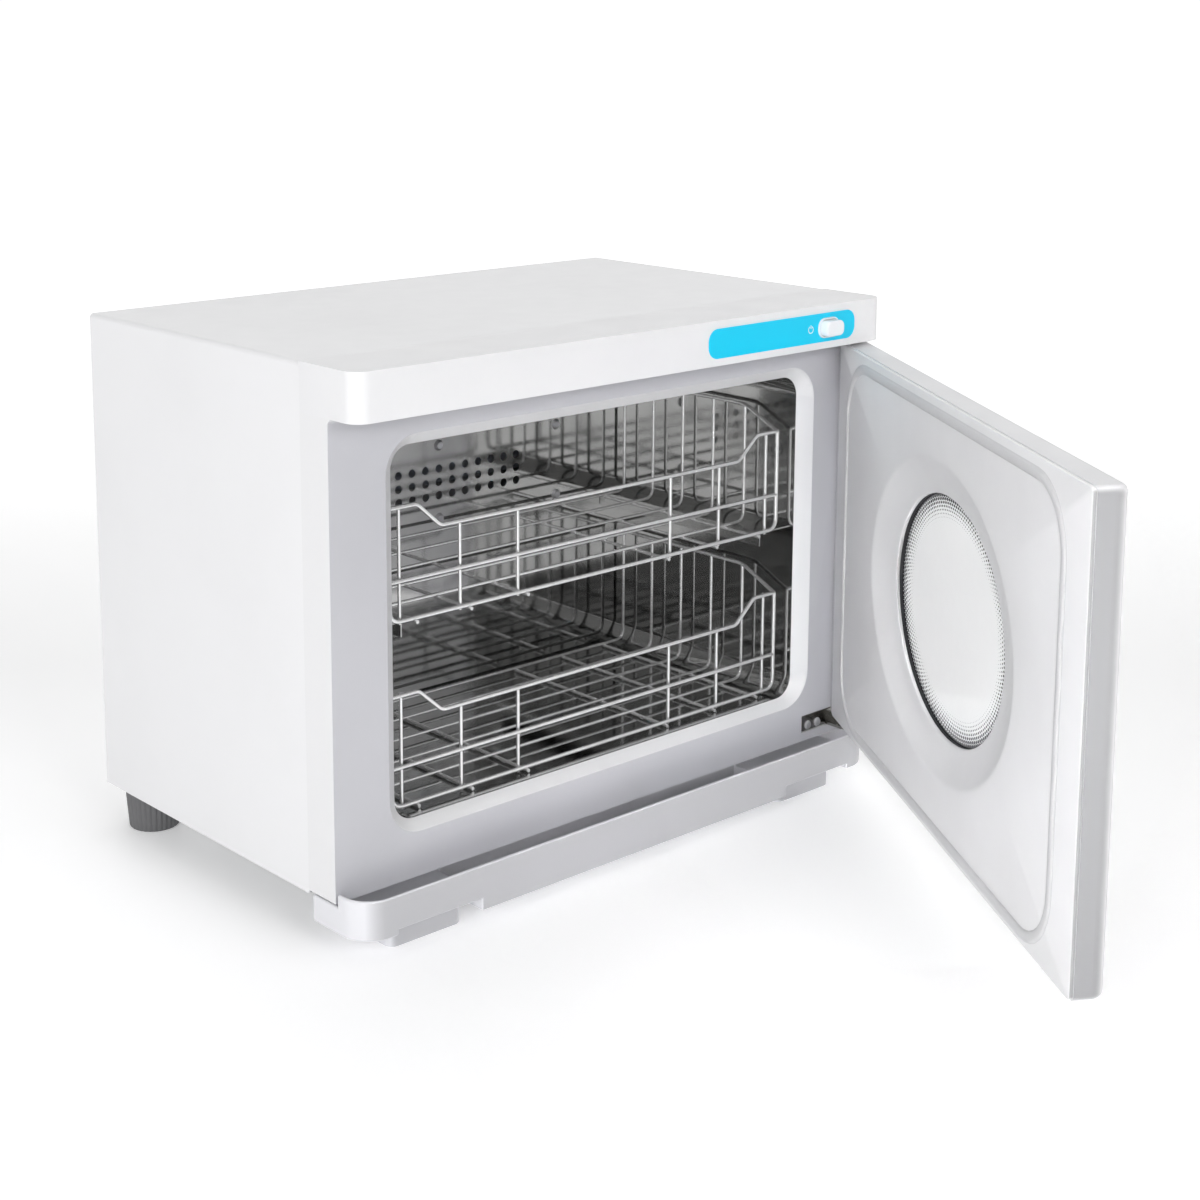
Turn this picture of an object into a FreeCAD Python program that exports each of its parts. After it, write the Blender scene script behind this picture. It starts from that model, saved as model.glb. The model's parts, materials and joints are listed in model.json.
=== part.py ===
import FreeCAD, Part
import math
import os

import Sketcher
from FreeCAD import Placement, Rotation, Vector

# Salon sterilizer cabinet, in millimetres. X runs to the right, Y to the back, Z up.
# The origin is on the ground, under the middle of the casing's footprint.
# The door is modelled part open; its own pieces are drawn closed, about the hinge axis.

DRIVING = {
    # whole cabinet
    "cabinet_width": 450,
    "cabinet_depth": 290,
    "cabinet_height": 350,
    "casing_floor": 30,
    "gauge": 1,
    "fold_radius": 3,
    # front moulding
    "header_reach": 53.5,
    "seat_reach": 27,
    "header_height": 29.5,
    "header_corner": 11,
    "frame_bottom": 32,
    "moulding": 3,
    "opening_width": 370,
    "opening_low": 60,
    "opening_high": 304,
    "opening_corner": 24,
    "lip_depth": 8,
    # liner
    "liner_width": 351,
    "liner_low": 65.8,
    "liner_high": 296,
    "liner_back": 66,
    "liner_corner": 14,
    "liner_gauge": 0.8,
    "perforation_radius": 3,
    "perforation_pitch_x": 11.9,
    "perforation_pitch_z": 9.6,
    "lamp_level": 216.5,
    "lamp_screw_x": 110,
    "lamp_screw_z": 26.5,
    # baskets
    "basket_low": 69.5,
    "basket_rise": 116.3,
    "basket_half": 169,
    "basket_front": -99.6,
    "wire_pitch": 30.8,
    "rim_low": 54,
    "rim_raised": 70,
    "rim_side": 84.8,
    "mid_rail": 24.8,
    "floor_wire": 1.15,
    "front_wire": 1.4,
    "wire_bend": 8,
    # door, measured from its hinge axis
    "hinge_x": 213,
    "hinge_y": -129.5,
    "door_angle": 57,
    "door_reach": 435.5,
    "door_barrel": 9.5,
    "door_outer": 11.5,
    "door_low": 46.5,
    "door_high": 318,
    "door_skin": 2.5,
    "door_edge": 4,
    "panel_gauge": 2.2,
    "window_z": 183,
    "window_wide": 100,
    "window_tall": 78,
    "dish_wide": 128,
    "dish_tall": 97,
    "dish_depth": 7,
    "seal_inner": 375,
    "seal_low": 57,
    "seal_high": 305,
    "seal_bead": 7,
    "pin_radius": 2.5,
    "pin_clearance": 0.05,
    # header controls
    "label_left": 52.3,
    "label_right": 194,
    "label_low": 325.3,
    "label_high": 344.8,
    "label_gauge": 0.4,
    "button_x": 167,
    "button_z": 334.7,
    "button_wide": 17.5,
    "button_tall": 10.5,
    "button_proud": 7.5,
    # tray and feet
    "tray_high": 38.5,
    "tray_rear": -95,
    "tray_corner": 20,
    "tray_wall": 2.6,
    "foot_x": 201,
    "foot_y": 125,
    "foot_top_radius": 19,
    "foot_base_radius": 16.8,
    "pad_inner": 141,
    "pad_outer": 196,
    "screw_head": 3.6,
    "screw_shank": 1.7,
}

doc = FreeCAD.newDocument("sterilizer_cabinet")
sheet = doc.addObject("Spreadsheet::Sheet", "dims")
for row, (alias, number) in enumerate(DRIVING.items(), start=1):
    sheet.set(f"A{row}", alias)
    sheet.set(f"B{row}", str(number))
    sheet.setAlias(f"B{row}", alias)
doc.recompute()


class Size:
    """A length held both as a number and as the sheet expression that gives it."""

    def __init__(self, value, text):
        self.value = value
        self.text = text

    def join(self, sign, other, value):
        return Size(value, f"({self.text} {sign} {as_size(other).text})")

    def __add__(self, other):
        return self.join("+", other, self.value + as_size(other).value)

    def __sub__(self, other):
        return self.join("-", other, self.value - as_size(other).value)

    def __mul__(self, other):
        return self.join("*", other, self.value * as_size(other).value)

    def __truediv__(self, other):
        return self.join("/", other, self.value / as_size(other).value)

    def __radd__(self, other):
        return as_size(other) + self

    def __rmul__(self, other):
        return as_size(other) * self

    def __rsub__(self, other):
        return as_size(other) - self

    def __neg__(self):
        return as_size(0) - self


def as_size(number):
    return number if isinstance(number, Size) else Size(float(number), repr(float(number)))


def rising(*sizes):
    """The sizes in order, smallest first."""
    return sorted(sizes, key=lambda size: size.value)


class Sizes:
    """The sheet's cells by name."""

    def __getattr__(self, name):
        return Size(float(getattr(sheet, name)), "dims." + name)


s = Sizes()
nodes = []


def node(part, label):
    """Name a finished sub-part; the label is also the name of its file."""
    part.Label = label
    nodes.append(part)
    return part


def bind(part, name, amount):
    part.setExpression(name, as_size(amount).text)


def block(name, x, y, z):
    """A box between low and high limits on each axis."""
    box = doc.addObject("Part::Box", name)
    for side, axis, (low, high) in zip(("Length", "Width", "Height"), "xyz", (x, y, z)):
        bind(box, side, as_size(high) - low)
        bind(box, "Placement.Base." + axis, low)
    return box


TURNS = {
    "x": Rotation(Vector(0, 1, 0), 90),
    "y": Rotation(Vector(1, 0, 0), -90),
    "z": Rotation(),
}


def turned(part, axis, centre, start):
    """Lay a solid of revolution along an axis: centre gives the other two coordinates."""
    part.Placement = Placement(Vector(), TURNS[axis])
    places = list(centre)
    places.insert("xyz".index(axis), start)
    for name, place in zip("xyz", places):
        bind(part, "Placement.Base." + name, place)
    return part


def rod(name, axis, radius, centre, ends):
    cylinder = doc.addObject("Part::Cylinder", name)
    bind(cylinder, "Radius", radius)
    bind(cylinder, "Height", as_size(ends[1]) - ends[0])
    return turned(cylinder, axis, centre, ends[0])


def taper(name, axis, radii, centre, ends):
    cone = doc.addObject("Part::Cone", name)
    bind(cone, "Radius1", radii[0])
    bind(cone, "Radius2", radii[1])
    bind(cone, "Height", as_size(ends[1]) - ends[0])
    return turned(cone, axis, centre, ends[0])


def fuse(name, *parts):
    union = doc.addObject("Part::MultiFuse", name)
    union.Shapes = list(parts)
    union.Refine = True
    return union


def cut(name, base, *tools):
    result = doc.addObject("Part::Cut", name)
    result.Base = base
    result.Tool = tools[0] if len(tools) == 1 else fuse(name + "_tools", *tools)
    result.Refine = True
    return result


def group(name, *parts):
    """Separate solids kept together as one sub-part."""
    bundle = doc.addObject("Part::Compound", name)
    bundle.Links = list(parts)
    return bundle


def runs(edge, axis):
    """Whether a straight edge runs along an axis."""
    if edge.Curve.TypeId != "Part::GeomLine":
        return False
    way = edge.Curve.Direction
    return abs(abs(way.dot(Vector(*(float(axis == name) for name in "xyz")))) - 1) < 1e-6


def near(edge, **places):
    """Whether the middle of an edge has the given coordinates."""
    middle = edge.BoundBox.Center
    return all(abs(getattr(middle, name) - as_size(at).value) < 0.02 for name, at in places.items())


def soften(name, base, radius, chosen):
    """Round the chosen edges of a solid."""
    doc.recompute()
    rounded = doc.addObject("Part::Fillet", name)
    rounded.Base = base
    size = as_size(radius).value
    rounded.Edges = [(i, size, size) for i, e in enumerate(base.Shape.Edges, start=1) if chosen(e)]
    return rounded


def rounded_block(name, x, y, z, radius, axis):
    """A box with the four edges along one axis rounded."""
    return soften(name, block(name + "_box", x, y, z), radius, lambda edge: runs(edge, axis))


def body(name):
    return doc.addObject("PartDesign::Body", name)


def sketch_on(owner, name, role, at=(0, 0, 0)):
    """A sketch on one of its body's own origin planes, moved by at in the plane's axes."""
    plane = next(f for f in owner.Origin.OriginFeatures if f.Role == role)
    sketch = owner.newObject("Sketcher::SketchObject", name)
    sketch.AttachmentSupport = [(plane, "")]
    sketch.MapMode = "FlatFace"
    for axis, amount in zip("xyz", at):
        bind(sketch, "AttachmentOffset.Base." + axis, amount)
    return sketch


def hold(sketch, name, constraint, amount):
    """Add a dimension to a sketch and bind it to the sheet."""
    index = sketch.addConstraint(constraint)
    sketch.renameConstraint(index, name)
    bind(sketch, "Constraints." + name, amount)


def rounded_outline(sketch, width, height, radius, tag="outer"):
    """A rectangle with rounded corners, centred on the sketch's origin."""
    across = as_size(width) / 2 - radius
    along = as_size(height) / 2 - radius
    bend = as_size(radius)
    arcs = []
    for quarter, (sx, sy) in enumerate(((1, 1), (-1, 1), (-1, -1), (1, -1))):
        centre = Vector(sx * across.value, sy * along.value, 0)
        circle = Part.Circle(centre, Vector(0, 0, 1), bend.value)
        first = quarter * math.pi / 2
        arcs.append(sketch.addGeometry(Part.ArcOfCircle(circle, first, first + math.pi / 2)))
    for quarter, arc in enumerate(arcs):
        following = arcs[(quarter + 1) % 4]
        start = sketch.getPoint(arc, 2)
        end = sketch.getPoint(following, 1)
        line = sketch.addGeometry(Part.LineSegment(start, end))
        sketch.addConstraint(Sketcher.Constraint("Tangent", arc, 2, line, 1))
        sketch.addConstraint(Sketcher.Constraint("Tangent", line, 2, following, 1))
        sketch.addConstraint(Sketcher.Constraint("Horizontal" if quarter % 2 == 0 else "Vertical", line))
    for arc in arcs[1:]:
        sketch.addConstraint(Sketcher.Constraint("Equal", arcs[0], arc))
    hold(sketch, tag + "_radius", Sketcher.Constraint("Radius", arcs[0], bend.value), bend)
    far = Sketcher.Constraint("DistanceX", -1, 1, arcs[0], 3, across.value)
    hold(sketch, tag + "_right", far, across)
    far = Sketcher.Constraint("DistanceX", arcs[2], 3, -1, 1, across.value)
    hold(sketch, tag + "_left", far, across)
    far = Sketcher.Constraint("DistanceY", -1, 1, arcs[0], 3, along.value)
    hold(sketch, tag + "_top", far, along)
    far = Sketcher.Constraint("DistanceY", arcs[2], 3, -1, 1, along.value)
    hold(sketch, tag + "_bottom", far, along)


def feature(owner, kind, name, profile, length, reverse=False):
    """A pad or pocket of one sketch."""
    made = owner.newObject("PartDesign::" + kind, name)
    made.Profile = profile
    made.Reversed = reverse
    bind(made, "Length", length)
    return made


def finish_edges(owner, kind, name, size, chosen):
    """Fillet or chamfer the chosen edges of the body's last feature."""
    doc.recompute()
    last = owner.Tip
    edges = [f"Edge{i}" for i, e in enumerate(last.Shape.Edges, start=1) if chosen(e)]
    made = owner.newObject("PartDesign::" + kind, name)
    made.Base = (last, edges)
    bind(made, "Radius" if kind == "Fillet" else "Size", size)
    return made


def padded_plate(name, width, height, radius, at, thickness, opening=None):
    """A rounded plate standing upright: at is its centre X and Z and its rear face's Y.

    It grows towards the front. An opening is given as width, height and radius.
    """
    owner = body(name)
    sketch = sketch_on(owner, name + "_outline", "XZ_Plane", (at[0], at[1], -as_size(at[2])))
    rounded_outline(sketch, width, height, radius)
    if opening:
        rounded_outline(sketch, *opening, tag="inner")
    feature(owner, "Pad", name + "_pad", sketch, thickness)
    return owner


def place_centre(sketch, tag, circle, x, y):
    """Bind a circle's centre to a place in its sketch."""
    for way, place in (("X", as_size(x)), ("Y", as_size(y))):
        ends = (-1, 1, circle, 3) if place.value >= 0 else (circle, 3, -1, 1)
        reach = place if place.value >= 0 else -place
        hold(sketch, f"{tag}_{way}", Sketcher.Constraint("Distance" + way, *ends, reach.value), reach)


def drill(owner, name, places, radius, at, depth, role="XZ_Plane"):
    """A pocket of round holes through a body, at places in the plane's own axes."""
    sketch = sketch_on(owner, name + "_centres", role, at)
    for number, (x, y) in enumerate(places):
        centre = Vector(as_size(x).value, as_size(y).value, 0)
        hole = sketch.addGeometry(Part.Circle(centre, Vector(0, 0, 1), as_size(radius).value))
        place_centre(sketch, f"hole_{number}", hole, x, y)
        size = Sketcher.Constraint("Radius", hole, as_size(radius).value)
        hold(sketch, f"hole_{number}_radius", size, radius)
    pocket = feature(owner, "Pocket", name, sketch, depth)
    pocket.Midplane = True
    return pocket


def oval(name, wide, tall, level, height):
    """An elliptical disc in the door's plane, between two levels across the door."""
    ring = oval_edge(name + "_edge", wide, tall, level)
    disc = doc.addObject("Part::Extrusion", name)
    disc.Base = ring
    disc.DirMode = "Custom"
    disc.Dir = Vector(0, 1, 0)
    disc.Solid = True
    bind(disc, "LengthFwd", height)
    return disc


def oval_edge(name, wide, tall, level):
    """An ellipse standing on the door's window centre, at one level across the door."""
    ring = doc.addObject("Part::Ellipse", name)
    bind(ring, "MajorRadius", wide)
    bind(ring, "MinorRadius", tall)
    ring.Placement = Placement(Vector(), Rotation(Vector(1, 0, 0), 90))
    bind(ring, "Placement.Base.x", -s.hinge_x)
    bind(ring, "Placement.Base.y", level)
    bind(ring, "Placement.Base.z", s.window_z)
    return ring


def funnel(name, first, second):
    """A solid between two ovals, each given as wide, tall and level."""
    loft = doc.addObject("Part::Loft", name)
    loft.Sections = [oval_edge(name + "_first", *first), oval_edge(name + "_second", *second)]
    loft.Solid = True
    loft.Ruled = True
    return loft


def hang(part):
    """Turn a piece drawn on the closed door into its place on the open one."""
    part.Placement = Placement(Vector(), Rotation(Vector(0, 0, 1), s.door_angle.value))
    bind(part, "Placement.Base.x", s.hinge_x)
    bind(part, "Placement.Base.y", s.hinge_y)
    bind(part, "Placement.Rotation.Angle", s.door_angle)
    return part


def bent_path(points, bend):
    """Straight runs through the points, joined by tangent arcs of one radius."""
    edges = []
    start = points[0]
    for before, corner, after in zip(points, points[1:], points[2:]):
        back = (before - corner).normalize()
        ahead = (after - corner).normalize()
        half = back.getAngle(ahead) / 2
        setback = bend / math.tan(half)
        centre = corner + (back + ahead).normalize() * (bend / math.sin(half))
        middle = centre + (corner - centre).normalize() * bend
        leave = corner + back * setback
        arrive = corner + ahead * setback
        edges.append(Part.LineSegment(start, leave).toShape())
        edges.append(Part.Arc(leave, middle, arrive).toShape())
        start = arrive
    edges.append(Part.LineSegment(start, points[-1]).toShape())
    return Part.Wire(edges)


def bent_wire(points, radius, bend):
    """A round wire along straight runs and arcs."""
    path = bent_path(points, bend)
    start = path.Edges[0]
    first = start.valueAt(start.FirstParameter)
    way = start.tangentAt(start.FirstParameter)
    section = Part.Wire([Part.makeCircle(radius, first, way)])
    return path.makePipeShell([section], True, False)


half_width = s.cabinet_width / 2
front = -s.cabinet_depth / 2
seam = front + s.header_reach
seat = seam - s.seat_reach
back = s.cabinet_depth / 2
header_low = s.cabinet_height - s.header_height
inside = half_width - s.gauge


# ---------------------------------------------------------------- casing

def foot_screw_places():
    """Where the feet are screwed to the base plate: rear feet, then two per front pad."""
    places = [(side * s.foot_x, s.foot_y) for side in (-1, 1)]
    for side in (-1, 1):
        for x in (s.pad_inner + 12, s.pad_outer - 12):
            places.append((side * x, seam + 5.5))
    return places


def casing_screw_places():
    """Where the rear cover is screwed on: three down each side and two along the top."""
    places = [(side * 217, height) for side in (-1, 1) for height in (60, 180, 300)]
    return places + [(side * 110, 342) for side in (-1, 1)]


def make_outer_casing():
    """Painted steel wrap: top and both sides folded from one sheet, with a rear return flange."""
    wrap = block(
        "casing_block", (-half_width, half_width), (seam, back), (s.casing_floor, s.cabinet_height)
    )
    folded = soften(
        "casing_folds",
        wrap,
        s.fold_radius,
        lambda edge: runs(edge, "y") and near(edge, z=s.cabinet_height),
    )
    under_top = s.cabinet_height - s.gauge
    hollow = block("casing_hollow", (-inside, inside), (seam - 1, back - 4), (s.casing_floor - 1, under_top))
    low = s.casing_floor - 1
    rear = block("casing_rear_gap", (-inside + 12, inside - 12), (back - 5, back), (low, under_top - 12))
    recess = block("casing_rear_recess", (-inside, inside), (back - 3, back + 1), (low, under_top))
    threads = [
        rod(f"casing_thread_{i}", "y", s.screw_shank, place, (back - 6, back - 1))
        for i, place in enumerate(casing_screw_places())
    ]
    node(cut("casing", folded, hollow, rear, recess, *threads), "outer_casing")


def make_base_plate():
    """Steel floor of the casing with turned-up sides, vents and holes for the feet's screws."""
    top = s.casing_floor + s.gauge
    sheet_block = block("base_sheet", (-inside, inside), (seam, back - 4), (s.casing_floor, top + 12))
    trough = block(
        "base_trough", (-inside + s.gauge, inside - s.gauge), (seam - 1, back - 3), (top, top + 13)
    )
    holes = [
        rod(f"base_hole_{i}", "z", s.screw_shank, place, (s.casing_floor - 1, top + 1))
        for i, place in enumerate(foot_screw_places())
    ]
    vents = [
        block(f"base_vent_{side}_{row}", (x, x + 70), (row, row + 4), (s.casing_floor - 1, top + 1))
        for side, x in (("left", -165), ("right", 95))
        for row in (-40, -28, -16, -4)
    ]
    node(cut("base", sheet_block, trough, *holes, *vents), "base_plate")


def make_back_panel():
    """Rear cover, let into the casing, with rows of vent slots and the cable hole."""
    face = back - 2
    middle = (s.cabinet_height + s.casing_floor) / 2
    tall = s.cabinet_height - s.casing_floor - s.gauge * 2
    owner = padded_plate("rear_cover", inside * 2, tall, 2, (0, middle, face), s.gauge)
    slot = sketch_on(owner, "vent_slot", "XZ_Plane", (0, 250, -face))
    rounded_outline(slot, 120, 4, 1.9)
    pocket = feature(owner, "Pocket", "vent_pocket", slot, s.gauge * 4)
    pocket.Midplane = True
    doc.recompute()
    rows = owner.newObject("PartDesign::LinearPattern", "vent_rows")
    rows.Originals = [pocket]
    rows.Direction = (slot, ["V_Axis"])
    rows.Length = 60
    rows.Occurrences = 6
    owner.Tip = rows
    doc.recompute()
    drill(owner, "cover_holes", casing_screw_places(), s.screw_shank, (0, 0, -face), s.gauge * 4)
    drill(owner, "inlet_hole", [(170, 55)], 6, (0, 0, -face), s.gauge * 4)
    node(owner, "back_panel")


def make_casing_screws():
    """Pan-head screws holding the rear cover to the casing's return flange."""
    screws = []
    for i, place in enumerate(casing_screw_places()):
        head = taper(
            f"cover_screw_head_{i}", "y", (s.screw_head, s.screw_head * 0.7), place, (back - 2, back - 0.3)
        )
        shank = rod(f"cover_screw_shank_{i}", "y", s.screw_shank, place, (back - 5.5, back - 1))
        screws.append(fuse(f"cover_screw_{i}", head, shank))
    node(group("cover_screws", *screws), "casing_screws")


def make_cable_inlet():
    """Strain relief in the rear cover, through which the mains lead leaves."""
    place = (170, 55)
    flange = rod("inlet_flange", "y", 8.5, place, (back - 2, back - 0.2))
    barrel = rod("inlet_barrel", "y", 6, place, (back - 7, back - 1))
    nut = rod("inlet_nut", "y", 8, place, (back - 6.5, back - 3))
    bore = rod("inlet_bore", "y", 3.4, place, (back - 8, back))
    node(cut("inlet", fuse("inlet_solid", flange, barrel, nut), bore), "cable_inlet")


# ---------------------------------------------------------------- front moulding

def make_front_frame():
    """Moulded front: the header, the sealing face around the mouth and its tapered lip."""
    slab = block("frame_slab", (-half_width, half_width), (seat, seam), (s.frame_bottom, s.cabinet_height))
    header = rounded_block(
        "frame_header",
        (-half_width, half_width),
        (front, seat + 14),
        (header_low, s.cabinet_height),
        s.header_corner,
        "z",
    )
    solid = soften(
        "frame_cove",
        fuse("frame_solid", slab, header),
        4,
        lambda edge: runs(edge, "x") and near(edge, y=seat, z=header_low),
    )
    wall = s.moulding
    slab_hollow = block(
        "frame_hollow",
        (-half_width + wall, half_width - wall),
        (seat + wall, seam + 1),
        (s.frame_bottom + wall, s.cabinet_height - wall),
    )
    header_hollow = block(
        "header_hollow",
        (-half_width + wall * 3, half_width - wall * 3),
        (front + wall, seat + wall + 1),
        (header_low + wall, s.cabinet_height - wall),
    )
    lip_half = s.opening_width / 2 + wall
    lip_back = seat + s.lip_depth
    collar = block(
        "frame_collar",
        (-lip_half, lip_half),
        (seat + wall - 1, lip_back),
        (s.opening_low - wall, s.opening_high + wall),
    )
    hollow = cut("frame_inside", fuse("frame_hollows", slab_hollow, header_hollow), collar)
    mouth = body("frame_mouth")
    outer = sketch_on(mouth, "mouth_outer", "XZ_Plane", (0, (s.opening_low + s.opening_high) / 2, -seat))
    rounded_outline(outer, s.opening_width, s.opening_high - s.opening_low, s.opening_corner)
    inner = sketch_on(mouth, "mouth_inner", "XZ_Plane", (0, (s.liner_low + s.liner_high) / 2, -lip_back))
    rounded_outline(inner, s.liner_width, s.liner_high - s.liner_low, s.liner_corner)
    loft = mouth.newObject("PartDesign::AdditiveLoft", "mouth_loft")
    loft.Profile = outer
    loft.Sections = [inner]
    loft.Ruled = True
    notch = block("hinge_notch", (180, half_width + 1), (seat - 1, seat + 2.5), (38, 50.5))
    hole_reach = (header_low - 1, header_low + 4)
    pin_hole = rod("pin_hole", "z", s.pin_radius + 0.3, (s.hinge_x, s.hinge_y), hole_reach)
    button_hole = rounded_block(
        "button_hole",
        (s.button_x - s.button_wide / 2 - 0.4, s.button_x + s.button_wide / 2 + 0.4),
        (front - 1, front + 4),
        (s.button_z - s.button_tall / 2 - 0.4, s.button_z + s.button_tall / 2 + 0.4),
        4.6,
        "y",
    )
    screw_holes = [
        rod(f"bracket_hole_{i}", "y", s.screw_shank, (x, 42.4), (seat, seat + 6))
        for i, x in enumerate((187, 197))
    ]
    shell = cut("frame_shell", solid, hollow, mouth, notch, pin_hole, button_hole, *screw_holes)
    node(shell, "front_frame")


def make_header_label():
    """Printed plate on the header, pierced for the button's bezel."""
    middle_x = (s.label_left + s.label_right) / 2
    middle_z = (s.label_low + s.label_high) / 2
    wide = s.label_right - s.label_left
    tall = s.label_high - s.label_low
    owner = padded_plate("label_plate", wide, tall, 8, (middle_x, middle_z, front), s.label_gauge)
    window = sketch_on(owner, "bezel_window", "XZ_Plane", (s.button_x, s.button_z, -front))
    rounded_outline(window, s.button_wide + 3.2, s.button_tall + 3.2, 6.2)
    feature(owner, "Pocket", "bezel_pocket", window, s.label_gauge * 4).Midplane = True
    node(owner, "header_label")


def make_power_button():
    """Rocker-shaped push button with a flange that keeps it behind the header's wall."""
    owner = padded_plate(
        "button_cap",
        s.button_wide,
        s.button_tall,
        4,
        (s.button_x, s.button_z, front + 4),
        s.button_proud + 4,
    )
    keeper = sketch_on(owner, "button_keeper", "XZ_Plane", (s.button_x, s.button_z, -front - 4.4))
    rounded_outline(keeper, s.button_wide + 3, s.button_tall + 3, 5)
    feature(owner, "Pad", "button_flange", keeper, 1)
    finish_edges(owner, "Fillet", "button_edge", 1.2, lambda edge: near(edge, y=front - s.button_proud))
    node(owner, "power_button")
    bezel = padded_plate(
        "bezel_ring",
        s.button_wide + 3,
        s.button_tall + 3,
        6,
        (s.button_x, s.button_z, front),
        1.8,
        (s.button_wide + 0.8, s.button_tall + 0.8, 4.6),
    )
    node(bezel, "button_bezel")


def make_power_switch():
    """Switch hung from the header's roof behind the button."""
    face = front + 8
    case = block(
        "switch_case",
        (s.button_x - 9, s.button_x + 9),
        (face, face + 15),
        (s.button_z - 6, s.cabinet_height - s.moulding),
    )
    blade = (s.button_z - 3, s.button_z + 3)
    blades = [
        block(f"switch_blade_{i}", (s.button_x + x, s.button_x + x + 0.8), (face + 15, face + 22), blade)
        for i, x in enumerate((-6, 5))
    ]
    node(fuse("switch", case, *blades), "power_switch")


def make_catches():
    """Magnets and the door switch behind the frame's left edge."""
    face = seat + s.moulding
    magnets = [block(f"magnet_{z}", (-215, -203), (face, face + 6), (z - 10, z + 10)) for z in (100, 264)]
    node(group("magnets", *magnets), "catch_magnets")
    node(block("reed_switch", (-215, -203), (face, face + 6), (172, 192)), "door_sensor")


# ---------------------------------------------------------------- hinges

def make_hinge_brackets():
    """Lower bracket screwed into the frame's notch, and the upper pin in the header."""
    x, y = s.hinge_x, s.hinge_y
    plate = block("lower_plate", (181, 222.5), (seat + 0.5, seat + 2.5), (38.8, 49.7))
    tab = rounded_block("lower_tab", (203, 223), (-140, seat + 1), (40, 42), 5, "z")
    post = rod("lower_pin", "z", s.pin_radius, (x, y), (41, s.door_low + 10))
    shoulder = rod("lower_shoulder", "z", 4, (x, y), (42, s.door_low - 1))
    holes = [
        rod(f"plate_hole_{i}", "y", s.screw_shank, (place, 42.4), (seat, seat + 3))
        for i, place in enumerate((187, 197))
    ]
    solid = fuse("lower_solid", plate, tab, post, shoulder)
    node(cut("lower_bracket", solid, *holes), "lower_hinge_bracket")
    upper_plate = block("upper_plate", (192, 215.5), (-141, -117), (header_low + 3, header_low + 5))
    upper_post = rod("upper_pin", "z", s.pin_radius, (x, y), (s.door_high - 10, header_low + 4))
    collar = rod("upper_collar", "z", 4, (x, y), (s.door_high + 1, header_low))
    node(fuse("upper_bracket", upper_plate, upper_post, collar), "upper_hinge_bracket")
    screws = []
    for i, place in enumerate((187, 197)):
        head = taper(f"bracket_screw_head_{i}", "y", (2.4, 3.2), (place, 42.4), (seat - 0.8, seat + 0.5))
        shank = rod(f"bracket_screw_shank_{i}", "y", s.screw_shank, (place, 42.4), (seat, seat + 5.5))
        screws.append(fuse(f"bracket_screw_{i}", head, shank))
    node(group("bracket_screws", *screws), "hinge_screws")


# ---------------------------------------------------------------- door, about its hinge axis

def make_door_shell():
    """Moulded outer half of the door, hollow, with the hinge barrel down its right side."""
    reach, barrel, face = s.door_reach, s.door_barrel, -s.door_outer
    rim = s.door_barrel - s.panel_gauge
    level = (s.door_low, s.door_high)
    leaf = block("leaf", (-reach, 0), (face, rim), level)
    hinge_side = block("hinge_side", (-1, barrel), (face, 0), level)
    slab = fuse("door_slab", leaf, hinge_side)
    free_edge = soften("free_edge", slab, 9, lambda edge: runs(edge, "z") and near(edge, x=-reach, y=face))
    hinge_edge = soften(
        "hinge_edge", free_edge, 8, lambda edge: runs(edge, "z") and near(edge, x=barrel, y=face)
    )
    rounded = soften(
        "door_edges", hinge_edge, s.door_edge, lambda edge: runs(edge, "x") and near(edge, y=face)
    )
    rod_ends = rod("knuckle_rod", "z", barrel, (0, 0), level)
    rounded_rod = soften("knuckle_ends", rod_ends, s.door_edge, lambda edge: not runs(edge, "z"))
    knuckle = cut(
        "knuckle",
        rounded_rod,
        block("knuckle_trim", (-barrel - 1, 0), (rim, barrel + 1), (s.door_low - 1, s.door_high + 1)),
    )
    skin = s.door_skin
    hollow = rounded_block(
        "door_hollow",
        (-reach + skin, -2.5),
        (face + skin, 30),
        (s.door_low + skin, s.door_high - skin),
        6.5,
        "z",
    )
    bore = rod("knuckle_bore", "z", 6.3, (0, 0), (s.door_low + 20, s.door_high - 20))
    bush_hole = rod("bush_hole", "z", 4, (0, 0), (s.door_low - 1, s.door_high + 1))
    window = oval("shell_window", s.window_wide + 4, s.window_tall + 4, face - 1, 5)
    solid = fuse("door_solid", rounded, knuckle)
    node(hang(cut("door_outer_half", solid, hollow, bore, bush_hole, window)), "door_shell")


def make_door_inner_panel():
    """Flat inner half of the door with an oval dish sloping down to the window."""
    face = s.door_barrel
    rim = face - s.panel_gauge
    plate = block("panel_plate", (-s.door_reach + 0.8, 0), (rim, face), (s.door_low + 0.8, s.door_high - 0.8))
    bottom = face - s.dish_depth
    outside = funnel(
        "dish_outside",
        (s.dish_wide + 3, s.dish_tall + 3, rim),
        (s.window_wide + 4, s.window_tall + 4, bottom - s.panel_gauge),
    )
    inside_cone = funnel(
        "dish_inside",
        (s.dish_wide, s.dish_tall, face),
        (s.window_wide, s.window_tall, bottom),
    )
    hole = oval("dish_hole", s.window_wide - 3, s.window_tall - 3, bottom - 5, 8)
    node(hang(cut("door_panel", fuse("panel_solid", plate, outside), inside_cone, hole)), "door_inner_panel")


def ring(name, wide, tall, width, level, height):
    """An oval ring about the window's centre."""
    outer = oval(name + "_outer", wide, tall, level, height)
    inner = oval(name + "_inner", wide - width, tall - width, level - 1, height + 2)
    return cut(name, outer, inner)


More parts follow.
